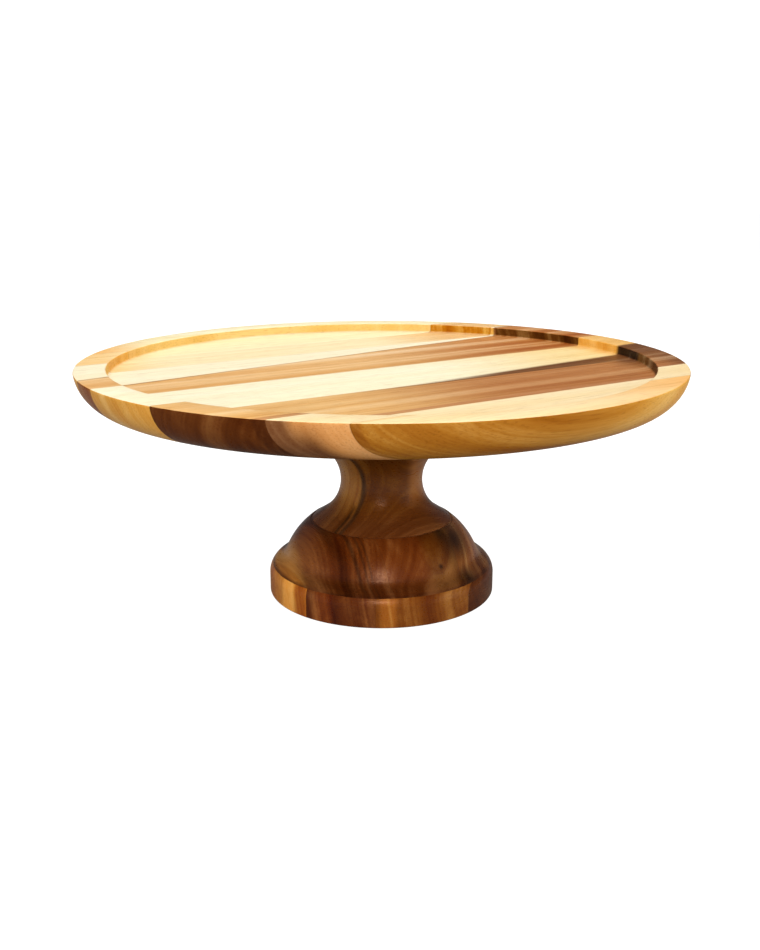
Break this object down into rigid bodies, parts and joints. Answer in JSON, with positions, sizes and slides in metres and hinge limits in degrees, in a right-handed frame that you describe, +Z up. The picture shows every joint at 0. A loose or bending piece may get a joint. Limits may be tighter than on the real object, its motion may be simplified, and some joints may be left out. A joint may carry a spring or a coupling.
{
  "type": "pedestal cake stand",
  "caption": "Round wooden cake stand: a recessed plate glued up from pale and brown staves, which screws onto a turned, waisted pedestal.",
  "frame": {"origin": "on the axis, where the foot pads stand on the table", "axes": "+Z up along the axis, +X along the plate's staves, -Y towards the narrow front staves"},
  "size_m": [0.3048, 0.3048, 0.1247],
  "materials": {
    "golden_stave": "satin oil",
    "pale_stave": "satin oil",
    "brown_stave": "satin oil",
    "cream_stave": "satin oil",
    "orange_stave": "satin oil",
    "pedestal_wood": "satin oil",
    "foot_wood": "satin oil",
    "insert_brass": "turned",
    "stud_steel": "zinc plated",
    "pad_felt": "pressed felt"
  },
  "bodies": {
    "pedestal": {"collar_insert": "insert_brass", "collar_strip_1": "pedestal_wood", "collar_strip_2": "pedestal_wood", "collar_strip_3": "pedestal_wood", "neck_block": "pedestal_wood", "bell_strip_1": "pedestal_wood", "bell_strip_2": "pedestal_wood", "bell_strip_3": "pedestal_wood", "foot_strip_1": "foot_wood", "foot_strip_2": "foot_wood", "foot_strip_3": "foot_wood", "foot_strip_4": "foot_wood", "foot_strip_5": "foot_wood", "foot_pad_1": "pad_felt", "foot_pad_2": "pad_felt", "foot_pad_3": "pad_felt", "foot_pad_4": "pad_felt"},
    "stud": {"stud": "stud_steel"},
    "plate": {"plate_stave_1": "golden_stave", "plate_stave_2": "pale_stave", "plate_stave_3": "brown_stave", "plate_stave_4": "cream_stave", "plate_stave_5": "brown_stave", "plate_stave_6": "orange_stave", "plate_stave_7": "cream_stave", "plate_insert": "insert_brass"}
  },
  "joints": [
    {"name": "stud_rise", "type": "slide", "parent": "pedestal", "child": "stud", "axis": [0, 0, 1], "range_m": [0, 0.0121]},
    {"name": "plate_turn", "type": "hinge", "parent": "stud", "child": "plate", "pos_m": [0, 0, 0.1062], "axis": [0, 0, 1], "range_deg": [0, 3456]}
  ],
  "couplings": [
    {"joint": "stud_rise", "follows": "plate_turn", "m_per_rad": 0.00019894}
  ]
}
